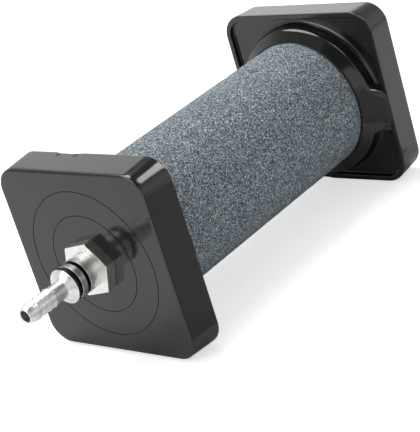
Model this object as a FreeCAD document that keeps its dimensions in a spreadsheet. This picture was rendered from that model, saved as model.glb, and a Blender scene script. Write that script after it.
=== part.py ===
# Cylindrical air stone: a porous tube bonded between two square end caps, with a barbed hose
# fitting through the front cap. Millimetres, +Z up, the stone's axis along Y and the fitting
# towards -Y. The origin is under the middle of the whole, on the surface it lies on.
import FreeCAD, Part
import os
import Sketcher

document = FreeCAD.newDocument("air_stone")

# Driving dimensions
SIZES = [
    ("overall_length", 138.0, "outer face of one cap to outer face of the other"),
    ("face_width", 65.4, "side of a cap's outer face"),
    ("rim_flare", 0.95, "how far each side of a cap leans out by its rim"),
    ("cap_depth", 12.4, "outer face to rim"),
    ("corner_radius", 7.8, "vertical corners of a cap, at its outer face"),
    ("face_bevel", 0.5, "bevel of the outer face's edge"),
    ("rim_wall", 2.2, "width of the rim"),
    ("rim_bevel", 0.3, "bevel of the rim's two edges"),
    ("tray_depth", 1.6, "rim to the sunken floor inside it"),
    ("end_wall", 3.0, "outer face to the seat of the stone"),
    ("notch_offset", 7.5, "middle of the cap to the middle of the dip in the rim"),
    ("notch_width", 11.0, "length of that dip"),
    ("notch_depth", 1.0, "its depth"),
    ("stone_diameter", 50.0, "outside of the porous tube"),
    ("stone_bore", 35.0, "inside of the porous tube"),
    ("stone_edge", 0.8, "chamfer of the tube's ends"),
    ("bond_gap", 0.4, "thickness of the adhesive round the ends of the tube"),
    ("spigot_wall", 2.2, "wall of the ring that centres the tube's bore"),
    ("spigot_height", 8.0, "how far that ring reaches into the bore"),
    ("collar_diameter", 58.6, "outside of the raised collar round the tube"),
    ("collar_rise", 6.6, "rim to the top of the collar"),
    ("collar_lip", 0.5, "flat top of the collar beside the tube"),
    ("collar_crest", 0.8, "bevel between the collar's wall and its sloping top"),
    ("collar_foot", 1.4, "slope where the collar meets the floor"),
    ("lug_width", 17.4, "the lug that joins the collar to one side of the rim"),
    ("lug_drop", 4.3, "middle of the cap down to the middle of the lug"),
    ("lug_inset", 0.5, "outer edge of the rim to the lug"),
    ("lug_corner", 4.5, "rounded outer corners of the lug"),
    ("hex_flats", 17.5, "across the flats of the fitting's hexagon"),
    ("hex_length", 4.0, "length of the hexagon"),
    ("hex_turn", 12.8, "turn of the hexagon about the fitting's axis, in degrees"),
    ("neck_diameter", 12.4, "round neck in front of the hexagon"),
    ("neck_length", 4.7, "length of the neck"),
    ("groove_width", 1.0, "width of the two turned grooves"),
    ("groove_depth", 1.1, "depth of the two turned grooves"),
    ("band_diameter", 11.6, "band between the grooves"),
    ("band_length", 2.4, "length of that band"),
    ("flange_diameter", 12.3, "flange in front of the grooves"),
    ("flange_length", 1.2, "straight part of the flange"),
    ("flange_cone", 1.7, "length over which the flange falls to the stem"),
    ("stem_diameter", 6.1, "stem behind the barbs"),
    ("stem_length", 5.3, "stem between the flange and the first barb"),
    ("barb_diameter", 6.8, "crest of a barb"),
    ("barb_root", 5.8, "small end of a barb"),
    ("barb_pitch", 2.35, "crest to crest"),
    ("barb_count", 4, "number of barbs"),
    ("barb_land", 0.4, "straight crest of a barb"),
    ("nose_length", 4.35, "last crest to the tip"),
    ("nose_diameter", 5.2, "outside of the tip"),
    ("nose_bevel", 0.3, "bevel of the tip"),
    ("air_bore", 4.1, "bore of the fitting"),
    ("shank_diameter", 10.0, "threaded shank that passes through the front cap"),
    ("shank_reach", 1.8, "shank beyond the lock nut"),
    ("shank_clearance", 0.15, "gap all round the shank in the cap and the washer"),
    ("washer_diameter", 18.0, "sealing washer inside the front cap"),
    ("washer_thickness", 2.0, "its thickness"),
    ("nut_flats", 14.0, "across the flats of the lock nut"),
    ("nut_thickness", 4.0, "its thickness"),
    ("nut_chamfer", 0.9, "turned chamfer of the lock nut's corners"),
]

# Places that follow from the driving dimensions
PLACES = [
    ("half_face", "Sizes.face_width / 2"),
    ("half_rim", "half_face + Sizes.rim_flare"),
    ("face_flat", "half_face - Sizes.corner_radius"),
    ("draft", "atan(Sizes.rim_flare / Sizes.cap_depth)"),
    ("tray_floor", "Sizes.cap_depth - Sizes.tray_depth"),
    ("tray_half", "half_rim - Sizes.rim_wall"),
    ("tray_corner", "Sizes.corner_radius + Sizes.rim_flare - Sizes.rim_wall"),
    ("tray_flat", "tray_half - tray_corner"),
    ("notch_low", "Sizes.cap_depth - Sizes.notch_depth"),
    ("notch_near", "Sizes.notch_offset - Sizes.notch_width / 2"),
    ("notch_far", "Sizes.notch_offset + Sizes.notch_width / 2"),
    ("notch_floor", "tray_half - Sizes.rim_wall"),
    ("notch_reach", "half_rim + Sizes.rim_wall"),
    ("stone_radius", "Sizes.stone_diameter / 2"),
    ("bore_radius", "Sizes.stone_bore / 2"),
    ("stone_end", "Sizes.end_wall + Sizes.bond_gap"),
    ("stone_length", "Sizes.overall_length - 2 * stone_end"),
    ("stone_end_radius", "stone_radius - Sizes.stone_edge"),
    ("stone_far_edge", "stone_length - Sizes.stone_edge"),
    ("seat_radius", "stone_radius + Sizes.bond_gap"),
    ("spigot_radius", "bore_radius - Sizes.bond_gap"),
    ("spigot_inner", "spigot_radius - Sizes.spigot_wall"),
    ("spigot_top", "Sizes.end_wall + Sizes.spigot_height"),
    ("collar_radius", "Sizes.collar_diameter / 2"),
    ("collar_top", "Sizes.cap_depth + Sizes.collar_rise"),
    ("collar_mouth", "seat_radius + Sizes.collar_lip"),
    ("collar_fall", "Sizes.collar_rise / (half_rim - collar_mouth)"),
    ("crest_radius", "collar_radius - Sizes.collar_crest"),
    ("crest_top", "Sizes.cap_depth + collar_fall * (half_rim - crest_radius)"),
    ("crest_low", "crest_top - Sizes.collar_crest * (1 + collar_fall)"),
    ("foot_radius", "collar_radius + Sizes.collar_foot"),
    ("foot_top", "tray_floor + Sizes.collar_foot"),
    ("root_low", "tray_floor - Sizes.collar_foot"),
    ("seat_open", "collar_top + Sizes.collar_rise"),
    ("lug_reach", "half_rim - Sizes.lug_inset"),
    ("lug_flat", "lug_reach - Sizes.lug_corner"),
    ("lug_upper", "Sizes.lug_width / 2 - Sizes.lug_drop"),
    ("lug_lower", "Sizes.lug_width / 2 + Sizes.lug_drop"),
    ("lug_upper_flat", "lug_upper - Sizes.lug_corner"),
    ("lug_lower_flat", "lug_lower - Sizes.lug_corner"),
    ("lug_height", "collar_top - root_low"),
    ("lug_clear", "half_rim + lug_lower"),
    ("hex_half", "Sizes.hex_flats / 2"),
    ("hex_corner", "Sizes.hex_flats / sqrt(3)"),
    ("hex_corner_half", "hex_corner / 2"),
    ("neck_radius", "Sizes.neck_diameter / 2"),
    ("neck_end", "Sizes.hex_length + Sizes.neck_length"),
    ("groove_one_radius", "neck_radius - Sizes.groove_depth"),
    ("band_start", "neck_end + Sizes.groove_width"),
    ("band_end", "band_start + Sizes.band_length"),
    ("band_radius", "Sizes.band_diameter / 2"),
    ("groove_two_radius", "band_radius - Sizes.groove_depth"),
    ("flange_start", "band_end + Sizes.groove_width"),
    ("flange_end", "flange_start + Sizes.flange_length"),
    ("flange_radius", "Sizes.flange_diameter / 2"),
    ("stem_start", "flange_end + Sizes.flange_cone"),
    ("stem_radius", "Sizes.stem_diameter / 2"),
    ("barb_start", "stem_start + Sizes.stem_length"),
    ("barb_radius", "Sizes.barb_diameter / 2"),
    ("root_radius", "Sizes.barb_root / 2"),
    ("barb_land_end", "barb_start + Sizes.barb_land"),
    ("barb_end", "barb_start + Sizes.barb_pitch"),
    ("barb_run", "Sizes.barb_pitch * (Sizes.barb_count - 1)"),
    ("last_crest", "barb_start + barb_run + Sizes.barb_land"),
    ("tip", "barb_start + barb_run + Sizes.nose_length"),
    ("nose_radius", "Sizes.nose_diameter / 2"),
    ("nose_turn", "tip - Sizes.nose_bevel"),
    ("nose_flat", "nose_radius - Sizes.nose_bevel"),
    ("air_radius", "Sizes.air_bore / 2"),
    ("shank_radius", "Sizes.shank_diameter / 2"),
    ("shank_hole", "shank_radius + Sizes.shank_clearance"),
    ("washer_radius", "Sizes.washer_diameter / 2"),
    ("washer_end", "Sizes.end_wall + Sizes.washer_thickness"),
    ("nut_end", "washer_end + Sizes.nut_thickness"),
    ("shank_end", "nut_end + Sizes.shank_reach"),
    ("nut_half", "Sizes.nut_flats / 2"),
    ("nut_corner", "Sizes.nut_flats / sqrt(3)"),
    ("nut_corner_half", "nut_corner / 2"),
    ("nut_clear", "nut_corner + Sizes.nut_chamfer"),
    ("nut_low_edge", "washer_end + Sizes.nut_chamfer"),
    ("nut_high_edge", "nut_end - Sizes.nut_chamfer"),
    ("front_face", "(tip - Sizes.overall_length) / 2"),
    ("rear_face", "front_face + Sizes.overall_length"),
    ("stone_start", "front_face + stone_end"),
]


def fill_sheet(name, rows, prefix):
    sheet = document.addObject("Spreadsheet::Sheet", name)
    sheet.Label = name
    for line, row in enumerate(rows, start=1):
        alias = row[0]
        sheet.set("A%d" % line, alias)
        sheet.set("B%d" % line, prefix + str(row[1]))
        sheet.setAlias("B%d" % line, alias)
        if len(row) > 2:
            sheet.set("C%d" % line, row[2])
    document.recompute()
    return sheet


sizes = fill_sheet("Sizes", SIZES, "")
places = fill_sheet("Places", PLACES, "=")
SIZE_NAMES = [row[0] for row in SIZES]
HALF_TURN = 180


def cell(name):
    """The expression that reads a named value from its sheet."""
    if name.startswith("-"):
        return "-" + cell(name[1:])
    if name in SIZE_NAMES:
        return "Sizes." + name
    return "Places." + name


def number(name):
    """The present number of a named value, for a sketch's first geometry."""
    if name == "0":
        return 0.0
    if name.startswith("-"):
        return -number(name[1:])
    sheet = sizes if name in SIZE_NAMES else places
    value = getattr(sheet, name)
    return float(getattr(value, "Value", value))


def new_body(label):
    body = document.addObject("PartDesign::Body", label)
    body.Label = label
    return body


def origin_part(body, role):
    for feature in body.Origin.OriginFeatures:
        if feature.Role == role:
            return feature
    raise RuntimeError("the body has no " + role)


def new_sketch(body, name, role, turn=0):
    """A sketch on one of the body's own planes, turned about that plane's normal in degrees."""
    sketch = body.newObject("Sketcher::SketchObject", name)
    sketch.AttachmentSupport = [(origin_part(body, role), "")]
    sketch.MapMode = "FlatFace"
    rotation = FreeCAD.Rotation(FreeCAD.Vector(0, 0, 1), turn)
    sketch.AttachmentOffset = FreeCAD.Placement(FreeCAD.Vector(0, 0, 0), rotation)
    return sketch


def pin_point(sketch, edge, end, across, up):
    """Hold one end of an edge at named distances from the sketch's origin."""
    for kind, name in (("DistanceX", across), ("DistanceY", up)):
        if name == "0":
            axis = -2 if kind == "DistanceX" else -1
            sketch.addConstraint(Sketcher.Constraint("PointOnObject", edge, end, axis))
        else:
            index = sketch.addConstraint(
                Sketcher.Constraint(kind, -1, 1, edge, end, number(name)))
            sketch.setExpression("Constraints[%d]" % index, cell(name))


def arc_edge(start, finish, radius, bulge):
    """An arc from start to finish; bulge +1 has its centre on the left of the way, -1 on the right."""
    middle = (start + finish) * 0.5
    chord = finish - start
    half = chord.Length / 2
    left = FreeCAD.Vector(-chord.y, chord.x, 0).normalize()
    centre = middle + left * bulge * (max(radius ** 2 - half ** 2, 0.0) ** 0.5)
    crown = centre - left * bulge * radius
    return Part.Arc(start, crown, finish)


def draw_profile(sketch, corners):
    """A closed outline. Each corner is (across, up) or, at the far end of an arc,
    (across, up, radius, bulge); the names are cells of the two sheets."""
    spots = [FreeCAD.Vector(number(row[0]), number(row[1]), 0) for row in corners]
    count = len(corners)
    finishes = []
    starts = []
    for index in range(count):
        following = (index + 1) % count
        row = corners[following]
        if len(row) == 2:
            edge = sketch.addGeometry(Part.LineSegment(spots[index], spots[following]))
            starts.append((edge, 1))
            finishes.append((edge, 2))
            continue
        curve = arc_edge(spots[index], spots[following], number(row[2]), row[3])
        edge = sketch.addGeometry(curve)
        begins = sketch.getPoint(edge, 1).distanceToPoint(spots[index]) < 1e-6
        starts.append((edge, 1) if begins else (edge, 2))
        finishes.append((edge, 2) if begins else (edge, 1))
        held = sketch.addConstraint(Sketcher.Constraint("Radius", edge, number(row[2])))
        sketch.setExpression("Constraints[%d]" % held, cell(row[2]))
    for index in range(count):
        edge, end = starts[index]
        before, before_end = finishes[index - 1]
        sketch.addConstraint(Sketcher.Constraint("Coincident", before, before_end, edge, end))
        pin_point(sketch, edge, end, corners[index][0], corners[index][1])


def draw_circle(sketch, across, radius):
    circle = Part.Circle(FreeCAD.Vector(number(across), 0, 0), FreeCAD.Vector(0, 0, 1), number(radius))
    edge = sketch.addGeometry(circle)
    pin_point(sketch, edge, 3, across, "0")
    held = sketch.addConstraint(Sketcher.Constraint("Radius", edge, number(radius)))
    sketch.setExpression("Constraints[%d]" % held, cell(radius))


def draw_rounded_square(sketch, half, corner, flat):
    """A square of the given half width whose straight sides end at +-flat."""
    rows = [
        (flat, "-" + half), (half, "-" + flat, corner, 1),
        (half, flat), (flat, half, corner, 1),
        ("-" + flat, half), ("-" + half, flat, corner, 1),
        ("-" + half, "-" + flat), ("-" + flat, "-" + half, corner, 1),
    ]
    draw_profile(sketch, rows)


def draw_hexagon(sketch, corner, corner_half, half):
    draw_profile(sketch, [
        (corner, "0"), (corner_half, half), ("-" + corner_half, half),
        ("-" + corner, "0"), ("-" + corner_half, "-" + half), (corner_half, "-" + half)])


def turned(body, name, corners):
    """A solid of revolution about the body's Z axis from a profile of (radius, height).
    The profile stands on the body's Y side, which is upwards in every turned piece here."""
    sketch = new_sketch(body, name + "_profile", "YZ_Plane")
    draw_profile(sketch, corners)
    feature = body.newObject("PartDesign::Revolution", name)
    feature.Profile = sketch
    feature.ReferenceAxis = (sketch, ["V_Axis"])
    feature.Angle = 360
    return feature


def turned_cut(body, name, corners):
    """A groove cut by a profile of (radius, height) turned about the body's Z axis."""
    sketch = new_sketch(body, name + "_profile", "YZ_Plane")
    draw_profile(sketch, corners)
    document.recompute()
    before = body.Shape.Volume
    feature = body.newObject("PartDesign::Groove", name)
    feature.Profile = sketch
    feature.ReferenceAxis = (sketch, ["V_Axis"])
    feature.Angle = 360
    document.recompute()
    if not body.Shape.Volume < before:
        raise RuntimeError(name + " cut nothing")
    return feature


def pocket_up(body, name, sketch, length):
    """A pocket from the sketch towards +Z of the body."""
    document.recompute()
    before = body.Shape.Volume
    feature = body.newObject("PartDesign::Pocket", name)
    feature.Profile = sketch
    feature.setExpression("Length", cell(length))
    feature.Reversed = True
    document.recompute()
    if not body.Shape.Volume < before:
        raise RuntimeError(name + " cut nothing")
    return feature


def edges_at_height(shape, height):
    names = []
    for index, edge in enumerate(shape.Edges, start=1):
        box = edge.BoundBox
        if abs(box.ZMin - height) < 1e-4 and abs(box.ZMax - height) < 1e-4:
            names.append("Edge%d" % index)
    return names


def bevel_edges(body, name, base, names, size):
    feature = body.newObject("PartDesign::Chamfer", name)
    feature.Base = (base, names)
    feature.setExpression("Size", cell(size))
    document.recompute()
    return feature


def cap_block(body):
    """The square block with its leaning sides, bevelled face and sunken tray."""
    outline = new_sketch(body, "face_outline", "XY_Plane")
    draw_rounded_square(outline, "half_face", "corner_radius", "face_flat")
    block = body.newObject("PartDesign::Pad", "block")
    block.Profile = outline
    block.setExpression("Length", cell("cap_depth"))
    block.setExpression("TaperAngle", cell("draft"))
    document.recompute()
    bevel_edges(body, "face_edge", block, edges_at_height(block.Shape, 0.0), "face_bevel")
    floor = new_sketch(body, "tray_outline", "XY_Plane")
    draw_rounded_square(floor, "tray_half", "tray_corner", "tray_flat")
    floor.setExpression("AttachmentOffset.Base.z", cell("tray_floor"))
    tray = pocket_up(body, "tray", floor, "cap_depth")
    rim_edges = edges_at_height(tray.Shape, number("cap_depth"))
    bevel_edges(body, "rim_edge", tray, rim_edges, "rim_bevel")


def cap_notch(body, turn):
    """The shallow dip in one side of the rim."""
    sketch = new_sketch(body, "notch_outline", "XY_Plane", turn)
    draw_profile(sketch, [
        ("-notch_far", "-notch_reach"), ("-notch_near", "-notch_reach"),
        ("-notch_near", "-notch_floor"), ("-notch_far", "-notch_floor")])
    sketch.setExpression("AttachmentOffset.Base.z", cell("notch_low"))
    pocket_up(body, "notch", sketch, "cap_depth")


def cap_lug(body, turn):
    """The lug between the collar and the rim. Its top carries on the slope of the collar's."""
    sketch = new_sketch(body, "lug_outline", "XY_Plane", turn)
    draw_profile(sketch, [
        ("bore_radius", "-lug_lower"), ("lug_flat", "-lug_lower"),
        ("lug_reach", "-lug_lower_flat", "lug_corner", 1), ("lug_reach", "lug_upper_flat"),
        ("lug_flat", "lug_upper", "lug_corner", 1), ("bore_radius", "lug_upper")])
    sketch.setExpression("AttachmentOffset.Base.z", cell("root_low"))
    lug = body.newObject("PartDesign::Pad", "lug")
    lug.Profile = sketch
    lug.setExpression("Length", cell("lug_height"))
    turned_cut(body, "lug_slope", [
        ("collar_mouth", "collar_top"), ("half_rim", "cap_depth"), ("lug_clear", "cap_depth"),
        ("lug_clear", "seat_open"), ("collar_mouth", "seat_open")])


def cap_collar(body):
    """The raised collar, with a sloping top, a bevelled crest and a sloping foot."""
    turned(body, "collar", [
        ("spigot_radius", "root_low"), ("foot_radius", "root_low"),
        ("foot_radius", "tray_floor"), ("collar_radius", "foot_top"),
        ("collar_radius", "crest_low"), ("crest_radius", "crest_top"),
        ("collar_mouth", "collar_top"), ("spigot_radius", "collar_top")])


def cap_seat(body):
    """The ring seat for the tube's end, the centring spigot and the air chamber inside it."""
    turned_cut(body, "seat", [
        ("0", "end_wall"), ("spigot_inner", "end_wall"), ("spigot_inner", "spigot_top"),
        ("spigot_radius", "spigot_top"), ("spigot_radius", "end_wall"),
        ("seat_radius", "end_wall"), ("seat_radius", "seat_open"), ("0", "seat_open")])


def end_cap(label, turn):
    """One of the two like mouldings, turned about the fitting's axis by the given degrees."""
    body = new_body(label)
    cap_block(body)
    cap_notch(body, turn)
    cap_lug(body, turn)
    cap_collar(body)
    cap_seat(body)
    return body


def make_front_cap():
    body = end_cap("front_cap", HALF_TURN)
    hole = new_sketch(body, "port_outline", "XY_Plane")
    draw_circle(hole, "0", "shank_hole")
    pocket_up(body, "port", hole, "cap_depth")
    return body


def make_rear_cap():
    return end_cap("rear_cap", 0)


def make_porous_stone():
    """The porous tube, with a small chamfer round each end."""
    body = new_body("porous_stone")
    turned(body, "tube", [
        ("bore_radius", "0"), ("stone_end_radius", "0"), ("stone_radius", "stone_edge"),
        ("stone_radius", "stone_far_edge"), ("stone_end_radius", "stone_length"),
        ("bore_radius", "stone_length")])
    return body


def make_bond(label):
    """Adhesive round the outside of one end of the tube and under that end."""
    body = new_body(label)
    turned(body, "bead", [
        ("spigot_radius", "end_wall"), ("seat_radius", "end_wall"), ("seat_radius", "collar_top"),
        ("stone_radius", "collar_top"), ("stone_radius", "stone_end"), ("spigot_radius", "stone_end")])
    return body


def make_hose_fitting():
    """Turned from hexagon bar: shank, hexagon, grooved neck, flange, stem and barbs, bored through."""
    body = new_body("hose_fitting")
    turned(body, "core", [
        ("0", "-shank_end"), ("shank_radius", "-shank_end"), ("shank_radius", "0"),
        ("neck_radius", "0"), ("neck_radius", "neck_end"), ("groove_one_radius", "neck_end"),
        ("groove_one_radius", "band_start"), ("band_radius", "band_start"),
        ("band_radius", "band_end"), ("groove_two_radius", "band_end"),
        ("groove_two_radius", "flange_start"), ("flange_radius", "flange_start"),
        ("flange_radius", "flange_end"), ("stem_radius", "stem_start"),
        ("stem_radius", "barb_start"), ("root_radius", "barb_start"),
        ("root_radius", "last_crest"), ("0", "last_crest")])
    hexagon = new_sketch(body, "hexagon_outline", "XY_Plane")
    draw_hexagon(hexagon, "hex_corner", "hex_corner_half", "hex_half")
    hexagon_pad = body.newObject("PartDesign::Pad", "hexagon")
    hexagon_pad.Profile = hexagon
    hexagon_pad.setExpression("Length", cell("hex_length"))
    turned(body, "nose", [
        ("0", "last_crest"), ("barb_radius", "last_crest"), ("nose_radius", "nose_turn"),
        ("nose_flat", "tip"), ("0", "tip")])
    barb = turned(body, "barb", [
        ("0", "barb_start"), ("barb_radius", "barb_start"), ("barb_radius", "barb_land_end"),
        ("root_radius", "barb_end"), ("0", "barb_end")])
    document.recompute()
    barbs = body.newObject("PartDesign::LinearPattern", "barbs")
    barbs.Originals = [barb]
    barbs.Direction = (origin_part(body, "Z_Axis"), [""])
    barbs.setExpression("Length", cell("barb_run"))
    barbs.setExpression("Occurrences", cell("barb_count"))
    body.Tip = barbs
    turned_cut(body, "bore", [
        ("0", "-shank_end"), ("air_radius", "-shank_end"), ("air_radius", "tip"), ("0", "tip")])
    return body


def make_sealing_washer():
    body = new_body("sealing_washer")
    turned(body, "ring", [
        ("shank_hole", "end_wall"), ("washer_radius", "end_wall"),
        ("washer_radius", "washer_end"), ("shank_hole", "washer_end")])
    return body


def make_lock_nut():
    """Hexagon nut with both ends turned down at the corners."""
    body = new_body("lock_nut")
    outline = new_sketch(body, "nut_outline", "XY_Plane")
    draw_hexagon(outline, "nut_corner", "nut_corner_half", "nut_half")
    outline.setExpression("AttachmentOffset.Base.z", cell("washer_end"))
    block = body.newObject("PartDesign::Pad", "block")
    block.Profile = outline
    block.setExpression("Length", cell("nut_thickness"))
    document.recompute()
    turned_cut(body, "thread_bore", [
        ("0", "washer_end"), ("shank_radius", "washer_end"),
        ("shank_radius", "nut_end"), ("0", "nut_end")])
    turned_cut(body, "near_chamfer", [
        ("nut_half", "washer_end"), ("nut_clear", "washer_end"), ("nut_clear", "nut_low_edge")])
    turned_cut(body, "far_chamfer", [
        ("nut_half", "nut_end"), ("nut_clear", "nut_high_edge"), ("nut_clear", "nut_end")])
    return body


def place(body, at_face, rotation):
    """Stand a body on the fitting's axis, with its own origin at a named place along Y."""
    body.Placement = FreeCAD.Placement(FreeCAD.Vector(0, 0, 0), rotation)
    body.setExpression("Placement.Base.y", cell(at_face))
    body.setExpression("Placement.Base.z", cell("half_rim"))


def check_and_export(bodies):
    for thing in document.Objects:
        if "Invalid" in thing.State or "Error" in thing.State:
            raise RuntimeError(thing.Label + " failed")
    for body in bodies:
        shape = body.Shape
        if shape.isNull() or not shape.isValid() or len(shape.Solids) != 1:
            raise RuntimeError(body.Label + " is not one valid solid")
    os.makedirs("parts", exist_ok=True)
    for body in bodies:
        body.Shape.exportStep("parts/" + body.Label + ".step")


X_AXIS = FreeCAD.Vector(1, 0, 0)
Z_AXIS = FreeCAD.Vector(0, 0, 1)
TOWARDS_FRONT = FreeCAD.Rotation(X_AXIS, 90)
TOWARDS_REAR = FreeCAD.Rotation(Z_AXIS, 180) * TOWARDS_FRONT
HEX_TURN = FreeCAD.Rotation(Z_AXIS, number("hex_turn"))

front_cap = make_front_cap()
rear_cap = make_rear_cap()
porous_stone = make_porous_stone()
front_bond = make_bond("front_bond")
rear_bond = make_bond("rear_bond")
hose_fitting = make_hose_fitting()
sealing_washer = make_sealing_washer()
lock_nut = make_lock_nut()

place(front_cap, "front_face", TOWARDS_REAR)
place(rear_cap, "rear_face", TOWARDS_FRONT)
place(porous_stone, "stone_start", TOWARDS_REAR)
place(front_bond, "front_face", TOWARDS_REAR)
place(rear_bond, "rear_face", TOWARDS_FRONT)
place(hose_fitting, "front_face", TOWARDS_FRONT * HEX_TURN)
place(sealing_washer, "front_face", TOWARDS_REAR)
place(lock_nut, "front_face", TOWARDS_REAR)
document.recompute()

check_and_export([front_cap, rear_cap, porous_stone, front_bond, rear_bond,
                  hose_fitting, sealing_washer, lock_nut])
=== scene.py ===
# The look of a cylindrical air stone: two moulded black end caps, a sintered stone tube between
# them, the adhesive round its ends and a turned hose fitting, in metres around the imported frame.
import math
import bpy
import numpy as np
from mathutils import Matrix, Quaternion, Vector


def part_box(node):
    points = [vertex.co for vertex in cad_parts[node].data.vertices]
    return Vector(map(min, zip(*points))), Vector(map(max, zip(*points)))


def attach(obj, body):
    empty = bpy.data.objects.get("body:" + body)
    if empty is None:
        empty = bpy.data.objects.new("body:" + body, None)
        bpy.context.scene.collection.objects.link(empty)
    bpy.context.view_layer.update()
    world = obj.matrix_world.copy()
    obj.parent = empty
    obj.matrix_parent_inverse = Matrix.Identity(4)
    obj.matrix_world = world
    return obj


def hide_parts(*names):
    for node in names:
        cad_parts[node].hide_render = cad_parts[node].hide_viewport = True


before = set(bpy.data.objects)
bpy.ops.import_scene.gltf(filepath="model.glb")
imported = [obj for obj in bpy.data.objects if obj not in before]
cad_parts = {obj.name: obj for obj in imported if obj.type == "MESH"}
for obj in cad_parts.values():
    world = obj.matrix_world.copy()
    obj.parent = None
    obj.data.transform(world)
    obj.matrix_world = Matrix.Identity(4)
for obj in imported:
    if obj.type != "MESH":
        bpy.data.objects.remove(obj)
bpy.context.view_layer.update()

MM = 0.001
FULL_TURN = 2 * math.pi
SEED = 4

# Places along the axis, read from the frame
FRONT_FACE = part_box("front_cap")[0].y / MM
REAR_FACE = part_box("rear_cap")[1].y / MM
AXIS_HEIGHT = (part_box("porous_stone")[0].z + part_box("porous_stone")[1].z) / 2 / MM
STONE_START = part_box("porous_stone")[0].y / MM
STONE_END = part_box("porous_stone")[1].y / MM

# Cap sizes in millimetres, near those of the part's source, with heights from the outer face
CAP_COLUMNS = 720
HALF_FACE = 32.7
RIM_FLARE = 0.95
CAP_DEPTH = 12.4
CORNER_RADIUS = 7.8
FACE_ROUND = 0.7
FACE_INSETS = (4.5, 2.0)
FACE_CENTRE = 0.6
SIDE_START = 2.0
SIDE_GAP = 0.6
RIM_WALL = 2.2
RIM_ROUND = 0.45
RIM_SHARES = (0.04, 0.13, 0.25, 0.42, 0.68, 1.0)
TRAY_DEPTH = 1.6
TRAY_FILLET = 0.4
END_WALL = 3.0
NOTCH_FAR = -13.1
NOTCH_NEAR = -2.7
NOTCH_DEPTH = 1.0
NOTCH_RAMP = 3.0
NOTCH_TAIL = 8.0
NOTCH_STEEP_SHARE = 0.6
RING_RADII = (17.5, 26.2)
RING_HALF_WIDTH = 0.17
RING_DEPTH = 0.25
# Steps across a ring, as shares of its half width and of its depth
RING_STEPS = ((-2.2, 0), (-1, 0), (-0.55, 0.85), (0, 1), (0.55, 0.85), (1, 0), (2.2, 0))
STONE_RADIUS = 25.0
STONE_BORE = 17.5
STONE_CHAMFER = 0.8
BOND_GAP = 0.4
SPIGOT_WALL = 2.2
SPIGOT_HEIGHT = 8.0
SPIGOT_CHAMFER = 0.4
COLLAR_RADIUS = 29.3
COLLAR_RISE = 6.6
COLLAR_LIP = 0.5
COLLAR_CREST = 0.8
COLLAR_FOOT = 1.7
SEAT_EDGE = 0.12
LUG_REACH = 33.5
LUG_UPPER = 6.1
LUG_LOWER = 13.2
LUG_CORNER = 7.5
LUG_ROUND = 1.3
LUG_BULGE = 0.45
LUG_SWELL = 4.8
LUG_MARGIN = 1.0
PORT_RADIUS = 5.15

# Rows of points in each part of a cap
FACE_ARC_ROWS = 7
SIDE_ROWS = 5
RIM_ARC_ROWS = 6
FILLET_ROWS = 5
FLOOR_ROWS = 10
FOOT_ROWS = 7
WALL_ROWS = 5
CREST_ROWS = 8
SLOPE_ROWS = 8

# Edges that bend by more than this stay sharp
SHARP_DEGREES = 35

TRAY_FLOOR = CAP_DEPTH - TRAY_DEPTH
SEAT_RADIUS = STONE_RADIUS + BOND_GAP
SPIGOT_RADIUS = STONE_BORE - BOND_GAP
COLLAR_TOP = CAP_DEPTH + COLLAR_RISE
HALF_RIM = HALF_FACE + RIM_FLARE
COLLAR_MOUTH = SEAT_RADIUS + COLLAR_LIP
COLLAR_FALL = COLLAR_RISE / (HALF_RIM - COLLAR_MOUTH)


def ease(value):
    """A smooth step from 0 to 1."""
    value = np.clip(value, 0, 1)
    return value * value * (3 - 2 * value)


def rounded_square_reach(angles, half, corner):
    """How far a rounded square reaches from its middle at each angle."""
    across = np.maximum(np.abs(np.cos(angles)), np.abs(np.sin(angles)))
    along = np.minimum(np.abs(np.cos(angles)), np.abs(np.sin(angles)))
    side = half / across
    centre = half - corner
    towards = centre * (across + along)
    under_root = towards ** 2 - 2 * centre ** 2 + corner ** 2
    arc = towards + np.sqrt(np.maximum(under_root, 0))
    return np.where(side * along <= centre, side, arc)


def object_from_mesh(name, points, faces, sharp_degrees):
    """An object in the scene with a mesh that is smooth but for its sharp edges."""
    mesh = bpy.data.meshes.new(name)
    mesh.from_pydata(points, [], faces)
    mesh.validate()
    mesh.shade_smooth()
    mesh.set_sharp_from_angle(angle=math.radians(sharp_degrees))
    mesh.update()
    piece = bpy.data.objects.new(name, mesh)
    bpy.context.scene.collection.objects.link(piece)
    return piece


def skin_rings(name, rings, ends, sharp_degrees=SHARP_DEGREES):
    """A closed surface through rings of equally many points. The first and the last ring are each
    closed by a centre point ("point"), or joined to each other ("loop")."""
    count = len(rings[0])
    points = [tuple(spot * MM) for ring in rings for spot in ring]
    faces = []
    for row in range(len(rings) if ends == "loop" else len(rings) - 1):
        here = row * count
        there = ((row + 1) % len(rings)) * count
        for column in range(count):
            beside = (column + 1) % count
            faces.append((here + column, here + beside, there + beside, there + column))
    if ends == "point":
        first = len(points)
        last = (len(rings) - 1) * count
        points.append(tuple(np.mean(rings[0], axis=0) * MM))
        points.append(tuple(np.mean(rings[-1], axis=0) * MM))
        faces += [((column + 1) % count, column, first) for column in range(count)]
        faces += [(last + column, last + (column + 1) % count, first + 1) for column in range(count)]
    return object_from_mesh(name, points, faces, sharp_degrees)


def arc_steps(count):
    """Shares of a quarter turn, as (sine, cosine) pairs from start to end."""
    steps = np.linspace(0, math.pi / 2, count)
    return list(zip(np.sin(steps), np.cos(steps)))


# Caps


def cap_angles():
    return np.linspace(0, FULL_TURN, CAP_COLUMNS, endpoint=False)


def wall_half(height):
    """Half the cap's width where its leaning side has this height."""
    return HALF_FACE + RIM_FLARE * height / CAP_DEPTH


def cap_square_row(half, corner, height):
    return rounded_square_reach(cap_angles(), half, corner), height


def cap_circle_row(radius, height):
    return np.full(CAP_COLUMNS, radius), height


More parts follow.
